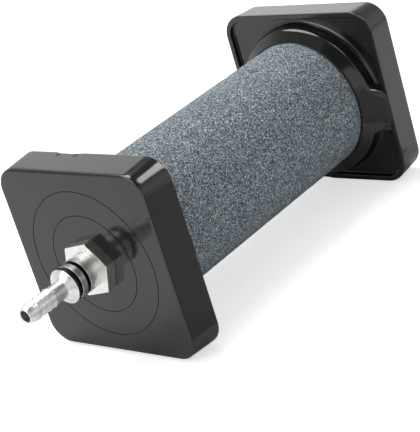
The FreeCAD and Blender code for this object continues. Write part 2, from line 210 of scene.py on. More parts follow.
def face_rows(start_radius):
    """The outer face with its two fine rings, then the rounded edge."""
    rows = [cap_circle_row(start_radius, 0.0)]
    for ring in RING_RADII:
        for share, depth in RING_STEPS:
            rows.append(cap_circle_row(ring + share * RING_HALF_WIDTH, depth * RING_DEPTH))
    for inset in FACE_INSETS:
        rows.append(cap_square_row(HALF_FACE - inset, CORNER_RADIUS - inset, 0.0))
    for sine, cosine in arc_steps(FACE_ARC_ROWS):
        inset = FACE_ROUND * (1 - sine)
        height = FACE_ROUND * (1 - cosine)
        half = wall_half(height) - inset
        rows.append(cap_square_row(half, CORNER_RADIUS - inset, height))
    return rows


def side_rows():
    """The leaning side and the rounded outer edge of the rim."""
    rows = []
    for height in np.linspace(SIDE_START, CAP_DEPTH - RIM_ROUND - SIDE_GAP, SIDE_ROWS):
        corner = CORNER_RADIUS + RIM_FLARE * height / CAP_DEPTH
        rows.append(cap_square_row(wall_half(height), corner, height))
    rim_corner = CORNER_RADIUS + RIM_FLARE
    for sine, cosine in arc_steps(RIM_ARC_ROWS):
        inset = RIM_ROUND * (1 - cosine)
        height = CAP_DEPTH - RIM_ROUND * (1 - sine)
        rows.append(cap_square_row(wall_half(height) - inset, rim_corner - inset, height))
    return rows


def rim_rows():
    """The rim's flat top."""
    rim_corner = CORNER_RADIUS + RIM_FLARE
    insets = [RIM_ROUND + share * (RIM_WALL - 2 * RIM_ROUND) for share in RIM_SHARES]
    return [cap_square_row(HALF_RIM - inset, rim_corner - inset, CAP_DEPTH) for inset in insets]


def tray_rows():
    """The rim's rounded inner edge, the tray's wall and the fillet at its foot."""
    rows = []
    rim_corner = CORNER_RADIUS + RIM_FLARE
    for sine, cosine in arc_steps(RIM_ARC_ROWS)[1:]:
        inset = RIM_WALL - RIM_ROUND * (1 - sine)
        height = CAP_DEPTH - RIM_ROUND * (1 - cosine)
        rows.append(cap_square_row(HALF_RIM - inset, rim_corner - inset, height))
    for sine, cosine in arc_steps(FILLET_ROWS):
        inset = RIM_WALL + TRAY_FILLET * (1 - cosine)
        height = TRAY_FLOOR + TRAY_FILLET * (1 - sine)
        rows.append(cap_square_row(HALF_RIM - inset, rim_corner - inset, height))
    return rows


def floor_rows():
    """The tray's floor, from the rounded square in to the circle of the collar's foot."""
    inset = RIM_WALL + TRAY_FILLET
    square = rounded_square_reach(cap_angles(), HALF_RIM - inset, CORNER_RADIUS + RIM_FLARE - inset)
    circle = COLLAR_RADIUS + COLLAR_FOOT
    rows = []
    for share in np.linspace(0, 1, FLOOR_ROWS)[1:]:
        rows.append((square + (circle - square) * share, TRAY_FLOOR))
    return rows


def cone_height(reach):
    """The slope that the collar's top and the lug share, down to the level of the rim."""
    return CAP_DEPTH + COLLAR_FALL * np.maximum(HALF_RIM - reach, 0)


def wall_rows():
    """The collar's hollow foot and upright wall, up to its crest."""
    rows = []
    for sine, cosine in arc_steps(FOOT_ROWS)[1:]:
        rows.append(cap_circle_row(COLLAR_RADIUS + COLLAR_FOOT * (1 - sine),
                                   TRAY_FLOOR + COLLAR_FOOT * (1 - cosine)))
    crest = COLLAR_RADIUS - COLLAR_CREST
    crest_top = float(cone_height(crest))
    crest_low = crest_top - COLLAR_CREST * (1 + COLLAR_FALL)
    for height in np.linspace(TRAY_FLOOR + COLLAR_FOOT, crest_low, WALL_ROWS)[1:]:
        rows.append(cap_circle_row(COLLAR_RADIUS, height))
    corner = (COLLAR_RADIUS, crest_top - COLLAR_CREST * COLLAR_FALL)
    for share in np.linspace(0, 1, CREST_ROWS)[1:]:
        near = (1 - share) ** 2
        middle = 2 * share * (1 - share)
        far = share ** 2
        radius = near * COLLAR_RADIUS + middle * corner[0] + far * crest
        rows.append(cap_circle_row(radius, near * crest_low + middle * corner[1] + far * crest_top))
    return rows


def slope_rows():
    """The collar's sloping top and the lip beside the stone."""
    rows = []
    for radius in np.linspace(COLLAR_RADIUS - COLLAR_CREST, COLLAR_MOUTH, SLOPE_ROWS)[1:]:
        rows.append(cap_circle_row(radius, float(cone_height(radius))))
    rows.append(cap_circle_row(SEAT_RADIUS + SEAT_EDGE, COLLAR_TOP))
    rows.append(cap_circle_row(SEAT_RADIUS, COLLAR_TOP - SEAT_EDGE))
    return rows


def seat_rows(end_radius):
    """Inside the stone's end: the seat, the centring spigot and the floor of the air chamber."""
    spigot_top = END_WALL + SPIGOT_HEIGHT
    inner = SPIGOT_RADIUS - SPIGOT_WALL
    ring = [(SEAT_RADIUS, END_WALL), (SPIGOT_RADIUS, END_WALL),
            (SPIGOT_RADIUS, spigot_top - SPIGOT_CHAMFER), (SPIGOT_RADIUS - SPIGOT_CHAMFER, spigot_top),
            (inner, spigot_top), (inner, END_WALL), (end_radius, END_WALL)]
    return [cap_circle_row(radius, height) for radius, height in ring]


def lower_for_notch(across, up, heights):
    """The shallow dip in one side of the rim, steep at its far end and long at its near one."""
    start = ease((across - NOTCH_FAR) / NOTCH_RAMP + 0.5)
    steep = ease((across - NOTCH_NEAR) / NOTCH_RAMP + 0.5)
    tail = ease((across - NOTCH_NEAR) / NOTCH_TAIL)
    finish = NOTCH_STEEP_SHARE * steep + (1 - NOTCH_STEEP_SHARE) * tail
    inside = start * (1 - finish) * (up < -(HALF_RIM - 2 * RIM_WALL))
    return np.minimum(heights, CAP_DEPTH - NOTCH_DEPTH * inside)


def lug_distance(across, up):
    """How far a point lies outside the lug's rounded outline; less than 0 inside it."""
    middle = (LUG_UPPER - LUG_LOWER) / 2
    half = (LUG_UPPER + LUG_LOWER) / 2
    over_x = across - (LUG_REACH - LUG_CORNER)
    over_z = np.abs(up - middle) - (half - LUG_CORNER)
    corner = np.hypot(np.maximum(over_x, 0), np.maximum(over_z, 0))
    distance = corner + np.minimum(np.maximum(over_x, over_z), 0) - LUG_CORNER
    return np.where(across > 0, distance, LUG_REACH)


def raise_for_lug(rows):
    """Rows lifted to the lug's sloping top, with a rounded edge along its outline."""
    angles = cap_angles()
    lifted = []
    for reach, height in rows:
        inside = -lug_distance(reach * np.cos(angles), reach * np.sin(angles))
        share = np.sqrt(1 - (1 - np.clip(inside / LUG_ROUND, 0, 1)) ** 2)
        swell = LUG_BULGE * ease((reach - COLLAR_RADIUS + COLLAR_CREST) / LUG_SWELL)
        lifted.append((reach, height + (cone_height(reach) + swell - height) * share))
    return lifted


def spread_for_lug(rows):
    """Rows from the rim's inner edge to the collar's crest, laid out evenly where the lug stands,
    because there they would otherwise lie over each other on the walls."""
    angles = cap_angles()
    start = HALF_RIM - RIM_WALL + RIM_ROUND
    finish = COLLAR_RADIUS - COLLAR_CREST
    reaches = np.array([reach for reach, height in rows])
    heights = np.array([height for reach, height in rows])
    spread = []
    for index, reach in enumerate(reaches):
        even = start + (finish - start) * (index + 1) / len(rows)
        outside = lug_distance(even * np.cos(angles), even * np.sin(angles))
        spread.append(reach + (even - reach) * ease((LUG_MARGIN - outside) / LUG_MARGIN + 0.5))
    placed = np.array(spread)
    resting = np.empty_like(placed)
    for column in range(CAP_COLUMNS):
        known = reaches[::-1, column]
        resting[:, column] = np.interp(placed[:, column], known, heights[::-1, column])
    return list(zip(placed, resting))


def even_rows(rows):
    """Rows of one height each, as (reach, height) arrays."""
    return [(reach, np.full(CAP_COLUMNS, float(height))) for reach, height in rows]


def notched_rows(rows):
    """Rows as (reach, height) arrays, lowered where the rim has its dip."""
    angles = cap_angles()
    lowered = []
    for reach, height in even_rows(rows):
        lowered.append((reach, lower_for_notch(reach * np.cos(angles), reach * np.sin(angles), height)))
    return lowered


def notched_tray_rows():
    """The tray's wall, which the dip lowers no further than the fillet at its foot."""
    rows = []
    for (reach, height), (_, lowered) in zip(even_rows(tray_rows()), notched_rows(tray_rows())):
        rows.append((reach, np.maximum(lowered, np.minimum(height, TRAY_FLOOR + TRAY_FILLET))))
    return rows


def cap_profile(start_radius):
    """All rows of a cap as (reach, height) arrays, from the outer face round to the inside."""
    outside = even_rows(face_rows(start_radius)) + notched_rows(side_rows())
    rim = raise_for_lug(notched_rows(rim_rows()))
    walls = notched_tray_rows() + even_rows(floor_rows() + wall_rows())
    inside = even_rows(slope_rows() + seat_rows(start_radius))
    return outside + rim + raise_for_lug(spread_for_lug(walls)) + inside


def build_cap(name, outer_face, inward, start_radius):
    """A cap around the axis. inward is +1 for the front cap and -1 for the rear one: the same
    moulding, turned half way about the crosswise axis. Its rows start at the port's edge, or at a
    small circle round the middle of a face without a port."""
    angles = cap_angles()
    rings = []
    for reach, height in cap_profile(start_radius):
        across = reach * np.cos(angles)
        up = reach * np.sin(angles)
        rings.append(np.stack([across, outer_face + inward * height, AXIS_HEIGHT - inward * up], axis=1))
    return skin_rings(name, rings, "point" if start_radius == FACE_CENTRE else "loop")


# Turned pieces about the axis

LATHE_COLUMNS = 240


def turned_piece(name, profile, columns=LATHE_COLUMNS, sharp_degrees=SHARP_DEGREES):
    """A closed ring of (radius, place along the axis) turned about the axis. A radius may be an
    array with one value for each column."""
    angles = np.linspace(0, FULL_TURN, columns, endpoint=False)
    rings = []
    for radius, along in profile:
        radius = np.broadcast_to(np.asarray(radius, dtype=float), angles.shape)
        along = np.broadcast_to(np.asarray(along, dtype=float), angles.shape)
        rings.append(np.stack([radius * np.cos(angles), along,
                               AXIS_HEIGHT + radius * np.sin(angles)], axis=1))
    return skin_rings(name, rings, "loop", sharp_degrees)


# Stone

STONE_COLUMNS = 330
STONE_ROWS = 236
STONE_SHARP_DEGREES = 60
BORE_ROWS = 24
GRAIN_DEPTH = 0.04
LUMP_DEPTH = 0.01
LUMP_SMOOTHING = 6
RELIEF_LIMIT = 2


def smooth_wrapped(field, times):
    """A field with each value shared with its neighbours; the columns run round the tube."""
    for _ in range(times):
        field = (field * 2 + np.roll(field, 1, axis=1) + np.roll(field, -1, axis=1)) / 4
        above = np.vstack([field[:1], field[:-1]])
        below = np.vstack([field[1:], field[-1:]])
        field = (field * 2 + above + below) / 4
    return field


def stone_relief():
    """How deep each point of the tube's outside lies: fine grains over soft lumps, seeded."""
    random = np.random.default_rng(SEED)
    grains = random.normal(size=(STONE_ROWS, STONE_COLUMNS))
    lumps = smooth_wrapped(random.normal(size=(STONE_ROWS, STONE_COLUMNS)), LUMP_SMOOTHING)
    lumps = lumps / lumps.std()
    relief = (GRAIN_DEPTH * np.clip(grains, -RELIEF_LIMIT, RELIEF_LIMIT)
              + LUMP_DEPTH * np.clip(lumps, -RELIEF_LIMIT, RELIEF_LIMIT))
    return relief - relief.max()


def build_stone():
    """The tube, with a rough outside, chamfered ends and a plain bore."""
    relief = stone_relief()
    profile = [(STONE_RADIUS - STONE_CHAMFER, STONE_START)]
    places = np.linspace(STONE_START + STONE_CHAMFER, STONE_END - STONE_CHAMFER, STONE_ROWS)
    profile += [(STONE_RADIUS + relief[row], along) for row, along in enumerate(places)]
    profile.append((STONE_RADIUS - STONE_CHAMFER, STONE_END))
    profile += [(STONE_BORE, along) for along in np.linspace(STONE_END, STONE_START, BORE_ROWS)]
    return turned_piece("stone_tube", profile, STONE_COLUMNS, STONE_SHARP_DEGREES)


# Bonds

BEAD_DROP = 0.15
BEAD_CREEP = 0.3
BEAD_STEPS = 6


def build_bond(name, outer_face, inward):
    """The bead of adhesive round one end of the tube, with a hollow top against the stone."""
    top = COLLAR_TOP
    under = END_WALL + BOND_GAP
    outline = [(SPIGOT_RADIUS, END_WALL), (SEAT_RADIUS, END_WALL), (SEAT_RADIUS, top - BEAD_DROP)]
    for share in np.linspace(0, 1, BEAD_STEPS):
        radius = SEAT_RADIUS - BOND_GAP * share
        outline.append((radius, top - BEAD_DROP + BEAD_CREEP * share ** 2))
    outline += [(STONE_RADIUS, under), (SPIGOT_RADIUS, under)]
    profile = [(radius, outer_face + inward * height) for radius, height in outline]
    return turned_piece(name, profile)


# Hose fitting

HEX_FLATS = 17.5
HEX_TURN = 12.8
HEX_BLUNT = 0.05
HEX_LENGTH = 4.0
NECK_RADIUS = 6.2
NECK_LENGTH = 4.7
GROOVE_WIDTH = 1.0
GROOVE_DEPTH = 1.8
BAND_RADIUS = 5.8
BAND_LENGTH = 2.4
FLANGE_RADIUS = 6.15
FLANGE_LENGTH = 1.2
FLANGE_CONE = 1.7
STEM_RADIUS = 3.05
STEM_LENGTH = 5.3
BARB_RADIUS = 3.4
BARB_ROOT = 2.65
BARB_PITCH = 2.35
BARB_COUNT = 4
BARB_LAND = 0.4
NOSE_LENGTH = 4.35
NOSE_RADIUS = 2.6
NOSE_ROUND = 0.4
NOSE_BULGE = 0.22
NOSE_STEPS = 7
NOSE_ARC_ROWS = 6
AIR_RADIUS = 2.05
AIR_STEPS = 10
SHANK_RADIUS = 5.0
SHANK_END = 10.8
SHANK_END_INSET = 1.0
SHANK_CHAMFER = 0.45
SHANK_CHAMFER_LENGTH = 0.7
THREAD_PITCH = 1.25
THREAD_DEPTH = 0.5
THREAD_STEPS = 9
THREAD_SLOPE = 2.6
THREAD_FLAT = 0.15
THREAD_START = 1.2
THREAD_RUNOUT = 1.0
THREAD_RELIEF = 0.6
FITTING_COLUMNS = 360
FITTING_SHARP_DEGREES = 28
EDGE = 0.12


def hexagon_reach(angles, flats, turn_degrees, blunt):
    """How far a hexagon with slightly blunted corners reaches at each angle."""
    sector = FULL_TURN / 6
    turned = np.mod(angles - math.radians(turn_degrees) + sector / 2, sector) - sector / 2
    side = flats / 2 / np.cos(sector / 2 - np.abs(turned))
    corner = flats / math.sqrt(3)
    return np.minimum(side, corner - blunt)


def thread_rows(angles):
    """The shank's rolled thread as a height field round the shank, from its end to the hexagon."""
    rows = []
    for place in np.arange(0, SHANK_END - THREAD_RELIEF, THREAD_PITCH / THREAD_STEPS):
        phase = np.mod(place / THREAD_PITCH + angles / FULL_TURN, 1)
        tooth = np.clip(np.abs(phase - 0.5) * THREAD_SLOPE - THREAD_FLAT, 0, 1)
        fade_in = np.clip(place / THREAD_START, 0, 1)
        fade_out = np.clip((SHANK_END - THREAD_RUNOUT - place) / THREAD_RUNOUT, 0, 1)
        chamfer = SHANK_CHAMFER * np.clip(1 - place / SHANK_CHAMFER_LENGTH, 0, 1)
        rows.append((SHANK_RADIUS - THREAD_DEPTH * tooth * (fade_in * fade_out) - chamfer,
                     FRONT_FACE + (SHANK_END - place)))
    return rows


def shank_rows(angles):
    """The shank's inner end and its thread."""
    end = FRONT_FACE + SHANK_END
    return [(AIR_RADIUS, end), (SHANK_RADIUS - SHANK_END_INSET, end)] + thread_rows(angles)


def hexagon_rows(angles):
    """The hexagon on the cap's face and its step down to the neck."""
    hexagon = hexagon_reach(angles, HEX_FLATS, HEX_TURN, HEX_BLUNT)
    end = FRONT_FACE - HEX_LENGTH
    return [(SHANK_RADIUS, FRONT_FACE), (hexagon - EDGE, FRONT_FACE), (hexagon, FRONT_FACE - EDGE),
            (hexagon, end + EDGE), (hexagon - EDGE, end), (NECK_RADIUS + EDGE, end),
            (NECK_RADIUS, end - EDGE)]


def groove_rows(start, before, after):
    """A square groove, from a land of one radius to a land of another."""
    depth = before - GROOVE_DEPTH
    end = start - GROOVE_WIDTH
    return [(before, start + EDGE), (before - EDGE, start), (depth + EDGE, start), (depth, start - EDGE),
            (depth, end + EDGE), (depth + EDGE, end), (after - EDGE, end), (after, end - EDGE)]


def cone_rows(start, end):
    """The flange's outer edge and the cone from it to the stem."""
    return [(FLANGE_RADIUS, start + EDGE), (FLANGE_RADIUS - EDGE, start - EDGE / 2),
            (STEM_RADIUS + EDGE, end + EDGE / 3), (STEM_RADIUS, end - EDGE)]


def barb_rows(stem_end):
    """The crests, each with a short land and a slope down to the next root."""
    rows = []
    for crest in range(BARB_COUNT):
        start = stem_end - crest * BARB_PITCH
        root = STEM_RADIUS if crest == 0 else BARB_ROOT
        rows += [(root, start + EDGE / 2), (root + EDGE / 2, start), (BARB_RADIUS - EDGE, start),
                 (BARB_RADIUS, start - EDGE), (BARB_RADIUS, start - BARB_LAND)]
        if crest < BARB_COUNT - 1:
            rows.append((BARB_ROOT, start - BARB_PITCH + 2 * EDGE))
    return rows


def nose_rows(start, tip):
    """The swelling nose from the last crest to its rounded tip."""
    rows = []
    for share in np.linspace(0, 1, NOSE_STEPS)[1:-1]:
        bulge = NOSE_BULGE * math.sin(share * math.pi)
        radius = BARB_RADIUS + (NOSE_RADIUS - BARB_RADIUS) * share + bulge
        rows.append((radius, start + (tip + NOSE_ROUND - start) * share))
    for sine, cosine in arc_steps(NOSE_ARC_ROWS):
        rows.append((NOSE_RADIUS - NOSE_ROUND * (1 - cosine), tip + NOSE_ROUND * (1 - sine)))
    return rows


def air_rows(tip):
    """The bore from the tip back through the shank."""
    rows = [(AIR_RADIUS + EDGE, tip), (AIR_RADIUS, tip + EDGE)]
    for share in np.linspace(0, 1, AIR_STEPS)[1:-1]:
        rows.append((AIR_RADIUS, tip + EDGE + (FRONT_FACE + SHANK_END - tip - EDGE) * share))
    return rows


def build_fitting():
    """Turned from hexagon bar: thread, hexagon, grooved neck, coned flange, stem, barbs, bore."""
    angles = np.linspace(0, FULL_TURN, FITTING_COLUMNS, endpoint=False)
    neck_end = FRONT_FACE - HEX_LENGTH - NECK_LENGTH
    band_end = neck_end - (GROOVE_WIDTH + BAND_LENGTH)
    flange_end = band_end - (GROOVE_WIDTH + FLANGE_LENGTH)
    cone_end = flange_end - FLANGE_CONE
    stem_end = cone_end - STEM_LENGTH
    last_crest = stem_end - (BARB_COUNT - 1) * BARB_PITCH
    tip = last_crest - NOSE_LENGTH
    profile = shank_rows(angles) + hexagon_rows(angles)
    profile += groove_rows(neck_end, NECK_RADIUS, BAND_RADIUS)
    profile += groove_rows(band_end, BAND_RADIUS, FLANGE_RADIUS)
    profile += cone_rows(flange_end, cone_end) + barb_rows(stem_end)
    profile += nose_rows(last_crest - BARB_LAND, tip) + air_rows(tip)
    return turned_piece("barbed_fitting", profile, FITTING_COLUMNS, FITTING_SHARP_DEGREES)


# Materials

# Noise is (scale, detail, roughness), ramp stops are (place, grey or colour), and bump is
# (strength, distance in metres)
PLASTIC_FLOW = (60, 3, 0.5)
PLASTIC_SHADES = [(0.3, 0.006), (0.7, 0.010)]
PLASTIC_WEAR = (900, 4, 0.6)
PLASTIC_ROUGHNESS = [(0.35, 0.10), (0.75, 0.18)]
PLASTIC_IOR = 1.65
PLASTIC_GRAIN = (2500, 2, 0.5)
PLASTIC_BUMP = (0.03, 0.00008)
GRAIN_SCALE = 4300
# Grain shades from dark to bright; the darkest stop is painted shade standing for the pores
GRAIN_AND_PORE_SHADES = [(0.0, (0.004, 0.006, 0.010)), (0.42, (0.060, 0.078, 0.103)),
                (0.76, (0.262, 0.318, 0.365)), (1.0, (0.880, 0.985, 1.0))]
STONE_CLOUD = (700, 3, 0.7)
STONE_CLOUD_SHADES = [(0.3, 0.88), (0.7, 1.0)]
STONE_ROUGHNESS = 0.85
STONE_BUMP = (0.5, 0.0002)
ADHESIVE_FLOW = (300, 2, 0.5)
ADHESIVE_SHADES = [(0.3, 0.012), (0.7, 0.020)]
ADHESIVE_ROUGHNESS = 0.25
ADHESIVE_BUMP = (0.3, 0.0003)
PLATE_CLOUD = (500, 3, 0.6)
PLATE_SHADES = [(0.3, (0.88, 0.87, 0.845)), (0.7, (0.96, 0.955, 0.94))]
PLATE_ROUGHNESS = [(0.3, 0.22), (0.7, 0.42)]
PLATE_BUMP = (0.75, 0.00010)
# Painted shade for the fitting's grooves and flange edge: full plate colour outside them, darkened
# inside
GROOVE_PAINTED_SHADES = [(0.0, 1.0), (1.0, 0.07)]
TOOL_STRETCH = (220, 3200, 220)
TOOL_LINES = (1, 3, 0.7)
RUBBER_CLOUD = (400, 3, 0.6)
RUBBER_SHADES = [(0.3, 0.016), (0.7, 0.026)]
RUBBER_ROUGHNESS = 0.65
RUBBER_BUMP = (0.15, 0.0002)
BRASS_CLOUD = (350, 4, 0.6)
BRASS_SHADES = [(0.3, (0.62, 0.42, 0.17)), (0.7, (0.76, 0.55, 0.26))]
BRASS_ROUGHNESS = [(0.3, 0.2), (0.7, 0.34)]


def new_material(name):
    """A material with its nodes, links, shader and the place on the object that patterns follow."""
    material = bpy.data.materials.new(name)
    material.use_nodes = True
    nodes = material.node_tree.nodes
    links = material.node_tree.links
    shader = nodes["Principled BSDF"]
    place = nodes.new("ShaderNodeTexCoord").outputs["Object"]
    return material, nodes, links, shader, place


def noise(nodes, links, place, scale, detail, roughness):
    """A noise pattern from 0 to 1 over a place."""
    node = nodes.new("ShaderNodeTexNoise")
    node.inputs["Scale"].default_value = scale
    node.inputs["Detail"].default_value = detail
    node.inputs["Roughness"].default_value = roughness
    links.new(place, node.inputs["Vector"])
    return node.outputs["Fac"]


def ramp(nodes, links, value, stops):
    """A colour ramp from (position, grey or colour) stops."""
    node = nodes.new("ShaderNodeValToRGB")
    elements = node.color_ramp.elements
    while len(elements) < len(stops):
        elements.new(0.5)
    for element, (position, colour) in zip(elements, stops):
        element.position = position
        shade = colour if isinstance(colour, tuple) else (colour, colour, colour)
        element.color = (*shade, 1)
    links.new(value, node.inputs["Fac"])
    return node.outputs["Color"]


def multiply_colours(nodes, links, first, second):
    """The product of two colours."""
    node = nodes.new("ShaderNodeMix")
    node.data_type = "RGBA"
    node.blend_type = "MULTIPLY"
    node.inputs["Factor"].default_value = 1.0
    links.new(first, node.inputs["A"])
    links.new(second, node.inputs["B"])
    return node.outputs["Result"]


def add_bump(nodes, links, shader, height, strength, distance):
    """Fine relief on a shader from a height pattern."""
    bump = nodes.new("ShaderNodeBump")
    bump.inputs["Strength"].default_value = strength
    bump.inputs["Distance"].default_value = distance
    links.new(height, bump.inputs["Height"])
    links.new(bump.outputs["Normal"], shader.inputs["Normal"])


def black_plastic():
    """Glossy moulded plastic with faint flow marks, dust-fine grain and light scuffs."""
    material, nodes, links, shader, place = new_material("black_plastic")
    flow = noise(nodes, links, place, *PLASTIC_FLOW)
    links.new(ramp(nodes, links, flow, PLASTIC_SHADES), shader.inputs["Base Color"])
    wear = noise(nodes, links, place, *PLASTIC_WEAR)
    links.new(ramp(nodes, links, wear, PLASTIC_ROUGHNESS), shader.inputs["Roughness"])
    shader.inputs["IOR"].default_value = PLASTIC_IOR
    add_bump(nodes, links, shader, noise(nodes, links, place, *PLASTIC_GRAIN), *PLASTIC_BUMP)
    return material


def sintered_stone():
    """Grey grains of several shades and a few bright crystals; the darkest cells are painted shade that
    stands for pores.
    """
    material, nodes, links, shader, place = new_material("sintered_stone")
    cells = nodes.new("ShaderNodeTexVoronoi")
    cells.inputs["Scale"].default_value = GRAIN_SCALE
    links.new(place, cells.inputs["Vector"])
    grey = nodes.new("ShaderNodeSeparateColor")
    links.new(cells.outputs["Color"], grey.inputs["Color"])
    # Random shades for the grains, the darkest of them painted shade in place of pores
    grains = ramp(nodes, links, grey.outputs["Red"], GRAIN_AND_PORE_SHADES)
    cloud = noise(nodes, links, place, *STONE_CLOUD)
    shade = ramp(nodes, links, cloud, STONE_CLOUD_SHADES)
    links.new(multiply_colours(nodes, links, grains, shade), shader.inputs["Base Color"])
    shader.inputs["Roughness"].default_value = STONE_ROUGHNESS
    add_bump(nodes, links, shader, cells.outputs["Distance"], *STONE_BUMP)
    return material


def set_adhesive():
    """Black adhesive that has set with a slightly uneven skin."""
    material, nodes, links, shader, place = new_material("set_adhesive")
    flow = noise(nodes, links, place, *ADHESIVE_FLOW)
    links.new(ramp(nodes, links, flow, ADHESIVE_SHADES), shader.inputs["Base Color"])
    shader.inputs["Roughness"].default_value = ADHESIVE_ROUGHNESS
    add_bump(nodes, links, shader, flow, *ADHESIVE_BUMP)
    return material


def between(nodes, links, value, low, high):
    """1 where a value lies between two limits and 0 elsewhere."""
    over = nodes.new("ShaderNodeMath")
    over.operation = "GREATER_THAN"
    over.inputs[1].default_value = low
    links.new(value, over.inputs[0])
    under = nodes.new("ShaderNodeMath")
    under.operation = "LESS_THAN"
    under.inputs[1].default_value = high
    links.new(value, under.inputs[0])
    both = nodes.new("ShaderNodeMath")
    both.operation = "MULTIPLY"
    links.new(over.outputs[0], both.inputs[0])
    links.new(under.outputs[0], both.inputs[1])
    return both.outputs[0]


def groove_painted_shade_mask(nodes, links, place):
    """1 inside the two grooves of the fitting and on the flange's edge, where the base colour is
    darkened as painted shade."""
    parts = nodes.new("ShaderNodeSeparateXYZ")
    links.new(place, parts.inputs[0])
    first_end = FRONT_FACE - HEX_LENGTH - NECK_LENGTH
    second_end = first_end - GROOVE_WIDTH - BAND_LENGTH
    masks = []
    for end, width in ((first_end, GROOVE_WIDTH), (second_end, GROOVE_WIDTH + FLANGE_LENGTH)):
        start = end - width
        masks.append(between(nodes, links, parts.outputs["Y"], start * MM, (end + EDGE / 3) * MM))
    either = nodes.new("ShaderNodeMath")
    either.operation = "MAXIMUM"
    links.new(masks[0], either.inputs[0])
    links.new(masks[1], either.inputs[1])
    return either.outputs[0]


def plated_brass():
    """Bright nickel plate over turned metal, with the fine rings that the tool leaves and painted shade
    in its grooves and on the flange's edge.
    """
    material, nodes, links, shader, place = new_material("plated_brass")
    shader.inputs["Metallic"].default_value = 1.0
    plate = ramp(nodes, links, noise(nodes, links, place, *PLATE_CLOUD), PLATE_SHADES)
    # Painted shade: the plate colour is darkened in the grooves and on the flange's edge
    dark = ramp(nodes, links, groove_painted_shade_mask(nodes, links, place), GROOVE_PAINTED_SHADES)
    links.new(multiply_colours(nodes, links, plate, dark), shader.inputs["Base Color"])
    stretch = nodes.new("ShaderNodeMapping")
    stretch.inputs["Scale"].default_value = TOOL_STRETCH
    links.new(place, stretch.inputs["Vector"])
    lines = noise(nodes, links, stretch.outputs["Vector"], *TOOL_LINES)
    links.new(ramp(nodes, links, lines, PLATE_ROUGHNESS), shader.inputs["Roughness"])
    add_bump(nodes, links, shader, lines, *PLATE_BUMP)
    return material


def washer_rubber():
    """Matte black rubber."""
    material, nodes, links, shader, place = new_material("washer_rubber")
    tone = noise(nodes, links, place, *RUBBER_CLOUD)
    links.new(ramp(nodes, links, tone, RUBBER_SHADES), shader.inputs["Base Color"])
    shader.inputs["Roughness"].default_value = RUBBER_ROUGHNESS
    add_bump(nodes, links, shader, tone, *RUBBER_BUMP)
    return material


def plain_brass():
    """Brass as it was machined, slightly clouded."""
    material, nodes, links, shader, place = new_material("plain_brass")
    shader.inputs["Metallic"].default_value = 1.0
    tone = noise(nodes, links, place, *BRASS_CLOUD)
    links.new(ramp(nodes, links, tone, BRASS_SHADES), shader.inputs["Base Color"])
    links.new(ramp(nodes, links, tone, BRASS_ROUGHNESS), shader.inputs["Roughness"])
    return material


# Stage

WORLD_LIGHT = 0.46
# What glossy surfaces show of the world: pale walls and a darker ceiling, by the sine of the height
WORLD_MIRRORED = [(0.0, 0.80), (0.38, 0.72), (0.58, 0.34), (0.85, 0.20)]
FLOOR_REACH = 4.0
FLOOR_SHADE = 0.8
FLOOR_GLOW = 0.62
FLOOR_MIRRORED = 0.0
# Each card: name, shade of grey and corners
CARDS = [
    # The card on the floor is painted shade: a grey sheet right of the object that only glossy surfaces
    # show, darkening their reflections of that side of the floor
    ("floor_shade_card", 0.36, [(0.045, -0.4, 0.001), (0.7, -0.4, 0.001),
                          (0.7, 0.10, 0.001), (0.045, 0.10, 0.001)]),
    ("upper_card", 0.04, [(0.10, -0.70, 0.30), (0.65, -0.25, 0.30),
                          (0.65, -0.25, 1.0), (0.10, -0.70, 1.0)]),
]
# Each lamp: name, place, size, power in watts, and whether it lights more than glossy surfaces;
# all of them face the object
LAMPS = [
    ("top_lamp", (-0.35, 0.10, 0.95), 0.8, 7.6, True),
    ("front_lamp", (-0.30, -0.90, 0.55), 0.7, 3.0, True),
    ("back_lamp", (-0.66, 0.72, 0.42), 0.6, 0.50, True),
    ("side_lamp", (0.163, 0.179, 0.292), 0.175, 0.44, False),
]
LAMP_AIM = (0.0, 0.0, 0.03)
CAMERA_PLACE = (0.347483, -0.337147, 0.226757)
CAMERA_AIM = (0.0045116, -0.0012832, 0.023898)
CAMERA_ROLL = -17.30
CAMERA_LENS = 126.92
CAMERA_SENSOR = 36
CAMERA_NEAR = 0.01
CAMERA_FAR = 20


def white_for_rays(nodes, links, camera_strength, mirror_strength, plain_strength, kind):
    """An emission or background shader with one strength for the camera's rays, one for what
    shows in glossy and clear surfaces, which may be a socket, and one for the light."""
    path = nodes.new("ShaderNodeLightPath")
    mirrored = nodes.new("ShaderNodeMath")
    mirrored.operation = "MAXIMUM"
    links.new(path.outputs["Is Glossy Ray"], mirrored.inputs[0])
    links.new(path.outputs["Is Transmission Ray"], mirrored.inputs[1])
    plain_or_mirrored = nodes.new("ShaderNodeMapRange")
    plain_or_mirrored.inputs["To Min"].default_value = plain_strength
    if isinstance(mirror_strength, float):
        plain_or_mirrored.inputs["To Max"].default_value = mirror_strength
    else:
        links.new(mirror_strength, plain_or_mirrored.inputs["To Max"])
    links.new(mirrored.outputs[0], plain_or_mirrored.inputs["Value"])
    strength = nodes.new("ShaderNodeMapRange")
    strength.inputs["To Max"].default_value = camera_strength
    links.new(path.outputs["Is Camera Ray"], strength.inputs["Value"])
    links.new(plain_or_mirrored.outputs[0], strength.inputs["To Min"])
    shader = nodes.new(kind)
    shader.inputs["Color"].default_value = (1, 1, 1, 1)
    links.new(strength.outputs[0], shader.inputs["Strength"])
    return shader


def build_world():
    """A white world for the camera, with its own strengths for light and for what is mirrored."""
    world = bpy.data.worlds.new("studio")
    bpy.context.scene.world = world
    world.use_nodes = True
    nodes = world.node_tree.nodes
    links = world.node_tree.links
    nodes.remove(nodes["Background"])
    parts = nodes.new("ShaderNodeSeparateXYZ")
    links.new(nodes.new("ShaderNodeTexCoord").outputs["Generated"], parts.inputs[0])
    mirrored = ramp(nodes, links, parts.outputs["Z"], WORLD_MIRRORED)
    sky = white_for_rays(nodes, links, 1.0, mirrored, WORLD_LIGHT, "ShaderNodeBackground")
    links.new(sky.outputs[0], nodes["World Output"].inputs["Surface"])


